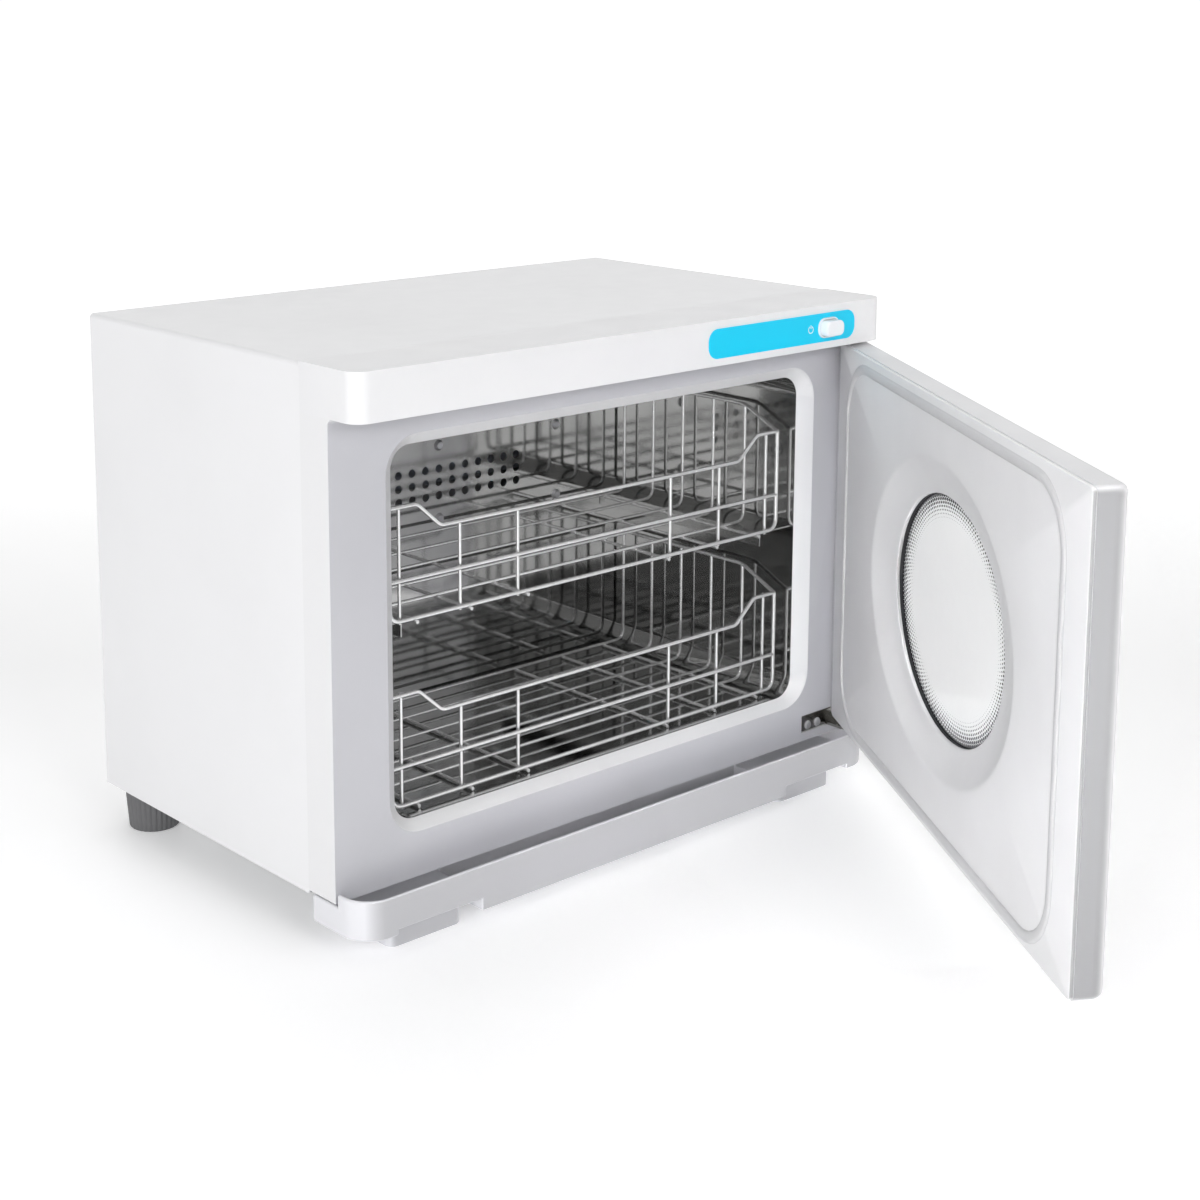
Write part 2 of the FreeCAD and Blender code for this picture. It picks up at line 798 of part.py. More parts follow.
def make_window():
    """Two panes held apart by a spacer, sealed to the dish and trimmed outside."""
    ledge = s.door_barrel - s.dish_depth - s.panel_gauge
    wide, tall = s.window_wide + 1, s.window_tall + 1
    pane_front = ledge - 2 - 3
    outer_pane_back = -s.door_outer + s.door_skin
    node(hang(ring("seal_ring", wide, tall, 4, pane_front + 3, 2)), "window_seal")
    node(hang(oval("inner_pane", wide, tall, pane_front, 3)), "window_glass_inner")
    spacer = ring("spacer_ring", wide, tall, 4, outer_pane_back, pane_front - outer_pane_back)
    node(hang(spacer), "window_spacer")
    pane = oval("outer_pane", s.window_wide + 3.8, s.window_tall + 3.8, -s.door_outer, s.door_skin)
    node(hang(pane), "window_glass_outer")
    trim = ring("trim_ring", s.window_wide + 10, s.window_tall + 10, 10, -s.door_outer - 1.2, 1.2)
    node(hang(trim), "window_trim")


def make_door_fittings():
    """Gasket, bushes, strike plates and the magnet that works the door switch."""
    face = s.door_barrel
    tall = s.seal_high - s.seal_low
    bead = s.seal_bead * 2
    middle = (s.seal_high + s.seal_low) / 2
    gasket = padded_plate(
        "gasket_ring",
        s.seal_inner + bead,
        tall + bead,
        42,
        (-s.hinge_x + 0.5, middle, face + 1.2),
        1.2,
        (s.seal_inner, tall, 35),
    )
    node(hang(gasket), "door_gasket")
    rim = face - s.panel_gauge
    strikes = [block(f"strike_{z}", (-428, -416), (rim - 2, rim), (z - 10, z + 10)) for z in (100, 264)]
    node(hang(group("strikes", *strikes)), "strike_plates")
    magnet = block("magnet_block", (-428, -416), (rim - 4, rim), (172, 192))
    node(hang(group("magnet", magnet)), "door_sensor_magnet")
    bushes = []
    for name, end, way in (("lower", s.door_low, 1), ("upper", s.door_high, -1)):
        sleeve = rod(name + "_sleeve", "z", 4, (0, 0), rising(end, end + way * 12))
        flange = rod(name + "_flange", "z", 5.5, (0, 0), rising(end - way * 0.8, end))
        whole = (s.door_low - 5, s.door_high + 5)
        bore = rod(name + "_bore", "z", s.pin_radius + s.pin_clearance, (0, 0), whole)
        bushes.append(cut(name + "_bush", fuse(name + "_bush_solid", sleeve, flange), bore))
    node(hang(group("bushes", *bushes)), "hinge_bushes")


# ---------------------------------------------------------------- liner and lamp

def lamp_screw_places():
    return [
        (side * s.lamp_screw_x, s.lamp_level + up * s.lamp_screw_z)
        for side in (-1, 0, 1)
        for up in (-1, 1)
    ]


def make_inner_liner():
    """Polished tub with a front flange, perforated over the lamp and drilled for its screws."""
    low, high = s.liner_low, s.liner_high
    middle = (low + high) / 2
    mouth = seat + s.lip_depth
    wide, tall = s.liner_width, high - low
    skin = s.liner_gauge * 2
    rear = s.liner_back + s.liner_gauge
    corner = s.liner_corner + s.liner_gauge
    owner = padded_plate("tub", wide + skin, tall + skin, corner, (0, middle, rear), rear - mouth)
    flange = sketch_on(owner, "tub_flange", "XZ_Plane", (0, middle, -mouth - s.liner_gauge))
    rounded_outline(flange, s.opening_width + 6, tall + 16, 14)
    feature(owner, "Pad", "tub_flange_pad", flange, s.liner_gauge)
    hollow = sketch_on(owner, "tub_hollow", "XZ_Plane", (0, middle, -s.liner_back))
    rounded_outline(hollow, wide, tall, s.liner_corner)
    feature(owner, "Pocket", "tub_pocket", hollow, s.liner_back - mouth + 1, reverse=True)
    start = s.perforation_pitch_x * -6
    rows = [(start, s.lamp_level + s.perforation_pitch_z * row) for row in (-1, 0, 1)]
    holes = drill(owner, "perforations", rows, s.perforation_radius, (0, 0, -s.liner_back), s.liner_gauge * 4)
    doc.recompute()
    pattern = owner.newObject("PartDesign::LinearPattern", "perforation_rows")
    pattern.Originals = [holes]
    pattern.Direction = (holes.Profile[0], ["H_Axis"])
    bind(pattern, "Length", s.perforation_pitch_x * 12)
    pattern.Occurrences = 13
    owner.Tip = pattern
    doc.recompute()
    drill(owner, "lamp_holes", lamp_screw_places(), s.screw_shank, (0, 0, -s.liner_back), s.liner_gauge * 4)
    node(owner, "inner_liner")


def make_liner_screws():
    """Domed screws holding the lamp housing behind the liner."""
    screws = []
    for i, place in enumerate(lamp_screw_places()):
        head = taper(f"dome_{i}", "y", (2.4, 4), place, (s.liner_back - 2, s.liner_back))
        shank = rod(f"dome_shank_{i}", "y", s.screw_shank, place, (s.liner_back - 1, s.liner_back + 5))
        screws.append(fuse(f"dome_screw_{i}", head, shank))
    node(group("dome_screws", *screws), "liner_screws")


def make_basket_rails():
    """Angles along the side walls that carry the upper basket."""
    wall = s.liner_width / 2
    shelf = s.basket_low + s.basket_rise - s.floor_wire - 0.35
    for name, side in (("left", -1), ("right", 1)):
        ends = rising(wall * side, (wall - 18.5) * side)
        lip = rising((wall - 17.5) * side, (wall - 18.5) * side)
        length = (s.basket_front + 4.1, s.liner_back - 3)
        flat = block(f"rail_flat_{name}", ends, length, (shelf - 1, shelf))
        edge = block(f"rail_lip_{name}", lip, length, (shelf - 10, shelf - 0.5))
        node(fuse(f"rail_{name}", flat, edge), "basket_rail_" + name)


def make_lamp():
    """Reflector trough, tube, end caps and holders behind the perforations."""
    wall = s.liner_back + s.liner_gauge
    level = s.lamp_level
    flange = block("lamp_flange", (-165, 165), (wall, wall + 0.8), (level - 33, level + 33))
    trough = block("lamp_trough", (-165, 165), (wall, wall + 46), (level - 20.8, level + 20.8))
    hollow = block("lamp_hollow", (-164.2, 164.2), (wall - 1, wall + 45.2), (level - 20, level + 20))
    holes = [
        rod(f"lamp_hole_{i}", "y", s.screw_shank, place, (wall - 1, wall + 2))
        for i, place in enumerate(lamp_screw_places())
    ]
    node(cut("lamp_box", fuse("lamp_solid", flange, trough), hollow, *holes), "lamp_housing")
    centre = (wall + 24, level)
    tube = cut(
        "tube",
        rod("tube_outside", "x", 8, centre, (-144, 144)),
        rod("tube_inside", "x", 7.2, centre, (-143, 143)),
    )
    node(tube, "uv_lamp_tube")
    caps = []
    for name, side in (("left", -1), ("right", 1)):
        def ordered(*ends):
            return sorted(side * end for end in ends)

        cap = rod("cap_" + name, "x", 8.2, centre, ordered(144, 150))
        pins = [
            rod(f"cap_pin_{name}_{z}", "x", 1.2, (centre[0], level + z), ordered(149, 156))
            for z in (-3, 3)
        ]
        caps.append(fuse("lamp_cap_" + name, cap, *pins))
        depth = centre[0]
        case = block(
            "holder_" + name, ordered(150.3, 164.2), (depth - 12, wall + 45.2), (level - 12, level + 12)
        )
        slot = block(
            "holder_slot_" + name, ordered(149, 157), (depth - 13, depth + 2), (level - 4.4, level + 4.4)
        )
        node(cut("lampholder_" + name, case, slot), "lamp_holder_" + name)
    node(group("caps", *caps), "uv_lamp_caps")


def make_electrics():
    """Ballast and terminal block on the base plate, and the leads between them and the lamp."""
    floor = s.casing_floor + s.gauge
    case = rounded_block("ballast_case", (-60, 60), (95, 130), (floor, floor + 28), 3, "x")
    ears = block("ballast_ears", (-72, 72), (104, 121), (floor, floor + 1))
    node(fuse("ballast", case, ears), "lamp_ballast")
    strip = block("terminal_strip", (100, 140), (100, 118), (floor, floor + 12))
    barrier = block("terminal_barrier", (100, 140), (106, 112), (floor + 11, floor + 18))
    node(fuse("terminals", strip, barrier), "terminal_block")
    box_back = s.liner_back.value + s.liner_gauge.value + 46
    level = s.lamp_level.value
    routes = [[(60, 110, 50), (80, 110, 50), (80, 110, 37), (100, 110, 37)]]
    for side in (-1, 1):
        up = side * 156
        routes.append([(side * 60, 120, 50), (up, 120, 50), (up, 120, level), (up, box_back, level)])
    leads = [bent_wire([Vector(*point) for point in route], 1.6, 5) for route in routes]
    wiring = doc.addObject("Part::Feature", "leads")
    wiring.Shape = Part.makeCompound(leads)
    node(wiring, "lamp_leads")


# ---------------------------------------------------------------- baskets

def make_baskets():
    """Two welded wire baskets: hoops under the sides and floor, a front grid and a stepped rim."""
    half = s.basket_half.value
    front_y = s.basket_front.value
    base = s.basket_low.value
    low, raised, side_rim = (base + size.value for size in (s.rim_low, s.rim_raised, s.rim_side))
    thin, thick = s.floor_wire.value, s.front_wire.value
    bend = s.wire_bend.value
    back_y = front_y + 5 * s.wire_pitch.value
    wires = []
    for hoop in range(6):
        y = front_y + hoop * s.wire_pitch.value
        top = raised if hoop == 0 else side_rim
        corners = [(-half, top), (-half, base), (half, base), (half, top)]
        points = [Vector(x, y, z) for x, z in corners]
        wires.append(bent_wire(points, thick if hoop == 0 else thin, bend))
    front_rim = [(-half, raised), (-148, raised), (-130, low), (130, low), (148, raised), (half, raised)]
    wires.append(bent_wire([Vector(x, front_y, z) for x, z in front_rim], thick, bend))
    for side in (-half, half):
        corners = [(front_y, raised), (front_y + 31, side_rim), (back_y + 1.3, side_rim)]
        wires.append(bent_wire([Vector(side, y, z) for y, z in corners], thick, 25))
    wires.append(Part.makeCylinder(thin, half * 2 - 1, Vector(0.5 - half, back_y, side_rim), Vector(1, 0, 0)))
    middle = base + s.mid_rail.value
    wires.append(Part.makeCylinder(thick, half * 2, Vector(-half, front_y, middle), Vector(1, 0, 0)))
    for x, top in ((67, low), (113.5, low), (160, raised)):
        for side in (-x, x):
            foot = Vector(side, front_y + thick + thin - 0.3, base - 2.6)
            wires.append(Part.makeCylinder(thin, top - base + 3.4, foot, Vector(0, 0, 1)))
    for x in (-150, -108, -62, 62, 108, 150):
        end = Vector(x, front_y - 2.5, base - thin * 2 + 0.2)
        wires.append(Part.makeCylinder(thin, back_y - front_y + 4, end, Vector(0, 1, 0)))
    welded = wires[0]
    for wire in wires[1:]:
        welded = welded.fuse(wire)
    for name, rise in (("lower", 0), ("upper", s.basket_rise)):
        basket = doc.addObject("Part::Feature", name + "_wires")
        basket.Shape = welded
        bind(basket, "Placement.Base.z", rise)
        node(basket, "basket_" + name)


# ---------------------------------------------------------------- tray and feet

def make_drip_tray():
    """Pull-out tray under the mouth: shallow over the feet, deep between them, tall in front."""
    top, rear, wall = s.tray_high, s.tray_rear, s.tray_wall
    outside = soften(
        "tray_corners",
        block("tray_block", (-half_width, half_width), (front, rear), (9.8, top)),
        s.tray_corner,
        lambda edge: runs(edge, "z") and near(edge, y=front),
    )
    step = block("tray_step", (-half_width - 1, half_width + 1), (-120, rear + 1), (30.5, top + 1))
    reliefs = []
    for name, side in (("left", -1), ("right", 1)):
        for part, low, high, level in (("foot", 136, 199, 17.5), ("end", 198, 226, 14)):
            ends = sorted((side * low, side * high))
            reliefs.append(block(f"tray_{part}_{name}", ends, (front - 1, rear + 1), (8, level)))
    inner = half_width - wall
    shallow = soften(
        "tray_inside_corners",
        block("tray_inside", (-inner, inner), (front + wall, rear - wall), (17.5 + wall, top + 1)),
        s.tray_corner - wall,
        lambda edge: runs(edge, "z") and near(edge, y=front + wall),
    )
    deep = block("tray_well", (-136 + wall, 136 - wall), (front + wall, rear - wall), (9.8 + wall, top))
    node(cut("tray", outside, step, *reliefs, shallow, deep), "drip_tray")


def make_front_feet():
    """Moulded front feet: a pad under the tray and a leg up to the base plate."""
    for name, side in (("left", -1), ("right", 1)):
        ends = rising(side * s.pad_inner, side * s.pad_outer)
        pad = rounded_block(f"pad_{name}", ends, (-132, -88), (0, 16.5), 6, "z")
        leg = block(f"leg_{name}", ends, (s.tray_rear + 1, -78), (0, s.casing_floor))
        wells = []
        for x in (s.pad_inner + 12, s.pad_outer - 12):
            place = (side * x, seam + 5.5)
            wells.append(rod(f"pad_well_{name}_{x.value:.0f}", "z", 4, place, (-1, 14)))
            bore = f"pad_bore_{name}_{x.value:.0f}"
            wells.append(rod(bore, "z", s.screw_shank, place, (13, s.casing_floor + 1)))
        solid = fuse("front_pad_solid_" + name, pad, leg)
        node(cut("front_pad_" + name, solid, *wells), "front_foot_" + name)


def make_rear_feet():
    """Fluted rubber cones, wider at the top, with a recess for the screw."""
    for name, side in (("left", -1), ("right", 1)):
        owner = body("rubber_" + name)
        base = sketch_on(owner, "foot_base_" + name, "XY_Plane")
        circle = sketch_circle(base, "base", s.foot_base_radius)
        crown = sketch_on(owner, "foot_crown_" + name, "XY_Plane", (0, 0, s.casing_floor))
        sketch_circle(crown, "crown", s.foot_top_radius)
        loft = owner.newObject("PartDesign::AdditiveLoft", "foot_cone_" + name)
        loft.Profile = base
        loft.Sections = [crown]
        doc.recompute()
        flute = sketch_on(owner, "flute_" + name, "XY_Plane", (s.foot_top_radius + 0.2, 0, 0))
        sketch_circle(flute, "flute", 1.1)
        groove = feature(owner, "Pocket", "flute_cut_" + name, flute, s.casing_floor * 3)
        groove.Midplane = True
        doc.recompute()
        flutes = owner.newObject("PartDesign::PolarPattern", "flutes_" + name)
        flutes.Originals = [groove]
        flutes.Axis = (base, ["N_Axis"])
        flutes.Angle = 360
        flutes.Occurrences = 30
        owner.Tip = flutes
        doc.recompute()
        drill(owner, "foot_bore_" + name, [(0, 0)], s.screw_shank, (0, 0, 0), s.casing_floor * 3, "XY_Plane")
        drill(owner, "foot_well_" + name, [(0, 0)], 4.4, (0, 0, 0), 28, "XY_Plane")
        bind(owner, "Placement.Base.x", side * s.foot_x)
        bind(owner, "Placement.Base.y", s.foot_y)
        node(owner, "rear_foot_" + name)


def sketch_circle(sketch, tag, radius):
    """A circle about the sketch's origin."""
    circle = sketch.addGeometry(Part.Circle(Vector(), Vector(0, 0, 1), as_size(radius).value))
    sketch.addConstraint(Sketcher.Constraint("Coincident", circle, 3, -1, 1))
    hold(sketch, tag + "_radius", Sketcher.Constraint("Radius", circle, as_size(radius).value), radius)
    return circle


def make_foot_screws():
    """Screws through the feet into nuts on the base plate."""
    screws = []
    top = s.casing_floor + s.gauge
    for i, place in enumerate(foot_screw_places()):
        head = rod(f"foot_screw_head_{i}", "z", s.screw_head, place, (11.6, 14))
        shank = rod(f"foot_screw_shank_{i}", "z", s.screw_shank, place, (13, top + 4))
        nut = rod(f"foot_nut_{i}", "z", s.screw_head, place, (top, top + 2.4))
        screws.append(fuse(f"foot_screw_{i}", head, shank, nut))
    node(group("foot_bolts", *screws), "foot_screws")


make_outer_casing()
make_base_plate()
make_back_panel()
make_casing_screws()
make_cable_inlet()
make_front_frame()
make_header_label()
make_power_button()
make_power_switch()
make_catches()
make_hinge_brackets()
make_door_shell()
make_door_inner_panel()
make_window()
make_door_fittings()
make_inner_liner()
make_liner_screws()
make_basket_rails()
make_lamp()
make_electrics()
make_baskets()
make_drip_tray()
make_front_feet()
make_rear_feet()
make_foot_screws()
doc.recompute()

failed = [part.Name for part in doc.Objects if {"Invalid", "Error"} & set(part.State)]
if failed:
    raise RuntimeError(f"these objects failed: {failed}")
for part in nodes:
    if part.Shape.isNull() or not part.Shape.isValid() or not part.Shape.Solids:
        raise RuntimeError(f"{part.Label} is not a sound solid")

os.makedirs("parts", exist_ok=True)
for part in nodes:
    part.Shape.exportStep(f"parts/{part.Label}.step")
    box = part.Shape.BoundBox
    print(
        f"{part.Label}: {len(part.Shape.Solids)} solids, {part.Shape.Volume:.0f} mm3,"
        f" X {box.XMin:.1f} to {box.XMax:.1f}, Y {box.YMin:.1f} to {box.YMax:.1f},"
        f" Z {box.ZMin:.1f} to {box.ZMax:.1f}"
    )
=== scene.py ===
import json
import math

import bmesh
import bpy
from mathutils import Matrix, Vector

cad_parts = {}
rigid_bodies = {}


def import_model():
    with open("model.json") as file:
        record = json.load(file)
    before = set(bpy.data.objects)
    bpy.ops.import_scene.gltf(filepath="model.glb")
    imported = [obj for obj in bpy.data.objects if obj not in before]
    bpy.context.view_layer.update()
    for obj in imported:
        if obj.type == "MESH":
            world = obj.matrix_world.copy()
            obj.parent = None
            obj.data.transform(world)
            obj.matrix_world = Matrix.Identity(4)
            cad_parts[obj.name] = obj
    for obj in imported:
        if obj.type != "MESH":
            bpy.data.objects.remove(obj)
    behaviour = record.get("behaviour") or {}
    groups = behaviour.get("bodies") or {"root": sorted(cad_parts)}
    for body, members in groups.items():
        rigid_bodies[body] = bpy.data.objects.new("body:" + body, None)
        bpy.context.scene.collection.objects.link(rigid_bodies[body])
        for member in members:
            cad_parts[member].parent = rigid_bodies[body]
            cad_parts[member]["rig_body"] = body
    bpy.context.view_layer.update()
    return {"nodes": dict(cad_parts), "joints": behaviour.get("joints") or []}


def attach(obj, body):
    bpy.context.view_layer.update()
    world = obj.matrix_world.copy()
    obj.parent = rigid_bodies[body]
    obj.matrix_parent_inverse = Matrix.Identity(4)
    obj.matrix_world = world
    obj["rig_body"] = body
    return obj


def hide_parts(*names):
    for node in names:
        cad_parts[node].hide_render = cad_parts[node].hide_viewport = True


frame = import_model()

# The cabinet stands on the ground with X to the right, Y to the back and Z up.
# The scene is in metres; sizes and places are written in millimetres and multiplied by MM.
MM = 0.001

HINGE_X = 213
DOOR_OPEN = math.radians(57)
DOOR_FACE = 9.5  # the door's inner face behind the hinge axis, when it is closed
WINDOW_Z = 183
HEADER_FROM = 320.4  # underside of the projecting header
SIGN_X, SIGN_Z = 149.5, 334.7  # middle of the power sign on the label
REAR_FOOT_X, REAR_FOOT_Y = 201, 125
TO_THE_FRONT = (0, -1, 0)
FAR_WALL = (0.65, 0.756)  # the way over the floor to the white wall of the studio


# ---------------------------------------------------------------- materials

class Nodes:
    """A material's node tree, with short calls for what the finishes below share."""

    def __init__(self, name):
        self.material = bpy.data.materials.new(name)
        self.material.use_nodes = True
        self.tree = self.material.node_tree
        self.shader = self.tree.nodes["Principled BSDF"]
        self.place = self.tree.nodes.new("ShaderNodeTexCoord").outputs["Object"]

    def add(self, kind, **settings):
        node = self.tree.nodes.new("ShaderNode" + kind)
        for key, value in settings.items():
            setattr(node, key, value)
        return node

    def link(self, source, target):
        self.tree.links.new(source, target)

    def put(self, socket, value):
        if isinstance(value, bpy.types.NodeSocket):
            self.link(value, socket)
        else:
            socket.default_value = value

    def maths(self, operation, *values):
        node = self.add("Math", operation=operation)
        for socket, value in zip(node.inputs, values):
            self.put(socket, value)
        return node.outputs[0]

    def stretched(self, factors):
        node = self.add("Mapping")
        node.inputs["Scale"].default_value = factors
        self.link(self.place, node.inputs["Vector"])
        return node.outputs[0]

    def noise(self, scale, detail=3.0, where=None):
        node = self.add("TexNoise")
        node.inputs["Scale"].default_value = scale
        node.inputs["Detail"].default_value = detail
        self.link(where or self.place, node.inputs["Vector"])
        return node.outputs["Fac"]

    def axes(self):
        node = self.add("SeparateXYZ")
        self.link(self.place, node.inputs[0])
        return node.outputs

    def length(self, side, other):
        squares = (self.maths("MULTIPLY", side, side), self.maths("MULTIPLY", other, other))
        return self.maths("SQRT", self.maths("ADD", *squares))

    def spread(self, source, low, high, start=0.3, end=0.7):
        """What goes from start to end in the source goes from low to high in the result."""
        node = self.add("MapRange")
        self.link(source, node.inputs["Value"])
        node.inputs["From Min"].default_value = start
        node.inputs["From Max"].default_value = end
        node.inputs["To Min"].default_value = low
        node.inputs["To Max"].default_value = high
        return node.outputs["Result"]

    def blend(self, factor, first, second):
        node = self.add("Mix", data_type="RGBA")
        self.put(node.inputs["Factor"], factor)
        for socket, value in ((node.inputs["A"], first), (node.inputs["B"], second)):
            self.put(socket, value if isinstance(value, bpy.types.NodeSocket) else (*value, 1))
        return node.outputs["Result"]

    def facing(self, direction):
        """1 on faces that look along a direction of the object's own, 0 on the others."""
        node = self.add("VectorMath", operation="DOT_PRODUCT")
        self.link(self.place.node.outputs["Normal"], node.inputs[0])
        node.inputs[1].default_value = direction
        return self.spread(node.outputs["Value"], 0, 1, 0.7, 0.98)

    def smudges(self):
        return self.spread(self.noise(14, 4), 0, 1, 0.35, 0.75)

    def bump(self, height, strength, distance, under=None):
        node = self.add("Bump")
        node.inputs["Strength"].default_value = strength
        node.inputs["Distance"].default_value = distance * MM
        self.link(height, node.inputs["Height"])
        if under:
            self.link(under, node.inputs["Normal"])
        return node.outputs["Normal"]

    def tooled(self, grain=1400, depth=0.04):
        """Fine tooling grain over the faint flow marks of a moulding."""
        flow = self.bump(self.noise(9, 1), 0.12, 1.2)
        return self.bump(self.noise(grain, 2), 0.35, depth, flow)

    def finish(self, colour, roughness, normal=None, **fixed):
        self.put(self.shader.inputs["Base Color"], colour)
        self.put(self.shader.inputs["Roughness"], roughness)
        if normal:
            self.link(normal, self.shader.inputs["Normal"])
        for name, value in fixed.items():
            self.shader.inputs[name.replace("_", " ")].default_value = value
        return self.material


def darker(colour, factor):
    return tuple(channel * factor for channel in colour)


def moulded(
    name, colour, rough=(0.32, 0.42), grain=1400, depth=0.04, shade=0.94, rim=None, **fixed
):
    """Moulded plastic or rubber with handling smudges. rim gives a direction, and how much darker
    the faces that look that way are painted, as painted shade."""
    m = Nodes(name)
    smudged_and_shaded = m.blend(m.smudges(), colour, darker(colour, shade))
    # Painted shade: faces that look along the rim direction are painted darker.
    if rim:
        direction, factor = rim
        smudged_and_shaded = m.blend(m.facing(direction), smudged_and_shaded, darker(colour, factor))
    return m.finish(smudged_and_shaded, m.spread(m.noise(38, 5), *rough), m.tooled(grain, depth), **fixed)


def front_moulding_finish():
    """Satin white header and edges; below the header, faces that look to the front are painted
    greyer and cooler as painted shade.
    """
    m = Nodes("front_moulding")
    smudges = m.smudges()
    # Painted shade: the front-facing faces below the header get a darker, cooler colour.
    face = m.blend(smudges, (0.52, 0.52, 0.55), (0.495, 0.495, 0.525))
    below = m.blend(m.facing(TO_THE_FRONT), (0.76, 0.76, 0.77), face)
    header = m.blend(smudges, (0.78, 0.78, 0.79), (0.75, 0.75, 0.765))
    high_up = m.spread(m.axes()["Z"], 0, 1, (HEADER_FROM - 0.2) * MM, (HEADER_FROM + 0.2) * MM)
    colour = m.blend(high_up, below, header)
    return m.finish(colour, m.spread(m.noise(38, 5), 0.3, 0.4), m.tooled(), Coat_Weight=0.12)


def painted(name, colour, rough=(0.3, 0.4)):
    """Powder coat on sheet steel: orange peel, slight waviness and a little dust in patches."""
    m = Nodes(name)
    dust = m.spread(m.noise(6, 5), 0, 1, 0.45, 0.8)
    tint = m.blend(dust, colour, darker(colour, 0.95))
    waves = m.bump(m.noise(7, 1), 0.15, 1.5)
    peel = m.bump(m.noise(520, 2), 0.16, 0.12, waves)
    roughness = m.spread(m.noise(60, 4), *rough)
    return m.finish(tint, roughness, peel, Coat_Weight=0.25, Coat_Roughness=0.12)


def bright_steel(name, colour, rough, lay=(1, 1, 40), scale=60, wave=0.07, metal=1.0):
    """Polished steel: a faint grain along the rolling direction, wipe marks and gentle dents."""
    m = Nodes(name)
    grain = m.noise(scale, 4, m.stretched(lay))
    wipes = m.noise(22, 5)
    tone = m.blend(m.spread(wipes, 0, 1, 0.3, 0.8), colour, darker(colour, 0.93))
    roughness = m.maths("ADD", m.spread(wipes, *rough), m.spread(grain, 0, 0.03))
    dents = m.bump(m.noise(5, 1), wave, 2)
    return m.finish(tone, roughness, m.bump(grain, 0.015, 0.2, dents), Metallic=metal)


def plated(name, colour, rough=(0.25, 0.4), scale=300, metal=1.0):
    """Zinc-plated or bare metal with a crystalline mottle."""
    m = Nodes(name)
    cells = m.noise(scale, 3)
    tone = m.blend(m.spread(cells, 0, 1), colour, darker(colour, 0.85))
    roughness = m.spread(m.noise(scale / 3, 3), *rough)
    return m.finish(tone, roughness, m.bump(cells, 0.12, 0.2), Metallic=metal)


def printed_pane():
    """Frosted pane, printed with a dark border that breaks up into dots towards the middle."""
    half_wide, half_tall = 97 * MM, 75 * MM
    rows, dots_around, first_row = 34, 165, 0.7
    m = Nodes("printed_pane")
    place = m.axes()
    across = m.maths("DIVIDE", place["X"], half_wide)
    up = m.maths("DIVIDE", place["Z"], half_tall)
    reach = m.length(across, up)
    row = m.maths("MULTIPLY", m.maths("SUBTRACT", reach, first_row), rows)
    turn = m.maths("MULTIPLY", m.maths("ARCTAN2", up, across), dots_around / math.tau)
    staggered = m.maths("ADD", turn, m.maths("MULTIPLY", m.maths("FLOOR", row), 0.5))
    beside = m.maths("MULTIPLY", m.maths("SUBTRACT", m.maths("FRACT", staggered), 0.5), 1.15)
    beyond = m.maths("SUBTRACT", m.maths("FRACT", row), 0.5)
    size = m.spread(reach, 0, 0.54, 0.76, 0.97)
    dots = m.spread(m.maths("SUBTRACT", size, m.length(beside, beyond)), 0, 1, -0.03, 0.03)
    border = m.spread(reach, 0, 1, 0.98, 0.986)
    ink = m.maths("MAXIMUM", dots, border)
    white = m.blend(m.noise(30, 4), (0.80, 0.80, 0.80), (0.77, 0.78, 0.78))
    colour = m.blend(ink, white, (0.045, 0.045, 0.05))
    # Painted glow: the white print emits a little light, standing in for the light behind the door
    # coming through it.
    m.link(m.spread(ink, 0.26, 0, 0, 1), m.shader.inputs["Emission Strength"])
    m.shader.inputs["Emission Color"].default_value = (1, 1, 1, 1)
    roughness = m.spread(m.noise(120, 3), 0.16, 0.26)
    gloss = {"Coat_Weight": 0.6, "Coat_Roughness": 0.03, "Specular_IOR_Level": 0.5}
    return m.finish(colour, roughness, m.bump(m.noise(700, 2), 0.05, 0.1), **gloss)


def clear_pane(name, tint=(0.93, 0.97, 0.96)):
    """Thin clear glass with faint wipe marks."""
    m = Nodes(name)
    wipes = m.spread(m.noise(40, 5), 0.01, 0.07)
    waves = m.bump(m.noise(6, 1), 0.05, 1)
    return m.finish((*tint, 1), wipes, waves, Transmission_Weight=0.92, IOR=1.46)


def power_sign(m):
    """The usual open ring with a stroke at its top, as a mask on the label."""
    radius, half_line, half_gap = 2.3 * MM, 0.32 * MM, 0.9 * MM
    stroke_middle, half_stroke = 1.9 * MM, 1.2 * MM
    place = m.axes()
    across = m.maths("SUBTRACT", place["X"], SIGN_X * MM)
    up = m.maths("SUBTRACT", place["Z"], SIGN_Z * MM)
    beside = m.maths("ABSOLUTE", across)
    ring = m.maths("COMPARE", m.length(across, up), radius, half_line)
    near = m.maths("LESS_THAN", beside, half_gap)
    gap = m.maths("MULTIPLY", near, m.maths("GREATER_THAN", up, 0))
    thin = m.maths("LESS_THAN", beside, half_line)
    stroke = m.maths("MULTIPLY", thin, m.maths("COMPARE", up, stroke_middle, half_stroke))
    return m.maths("MAXIMUM", m.maths("SUBTRACT", ring, gap), stroke)


def label_film():
    """Glossy blue printed film with a generic power sign, a slight sheen and hairline scratches."""
    m = Nodes("label_film")
    scratches = m.noise(90, 6, m.stretched((1, 1, 30)))
    film = m.blend(m.spread(m.noise(12, 2), 0, 1), (0.008, 0.60, 0.86), (0.012, 0.57, 0.83))
    tone = m.blend(power_sign(m), film, (0.85, 0.9, 0.92))
    roughness = m.spread(scratches, 0.28, 0.36)
    ripple = m.bump(m.noise(900, 2), 0.03, 0.03)
    return m.finish(tone, roughness, ripple, Specular_IOR_Level=0.25)


satin = {"Coat_Weight": 0.15, "Coat_Roughness": 0.2}
low_satin = {"Coat_Weight": 0.1, "Coat_Roughness": 0.22}
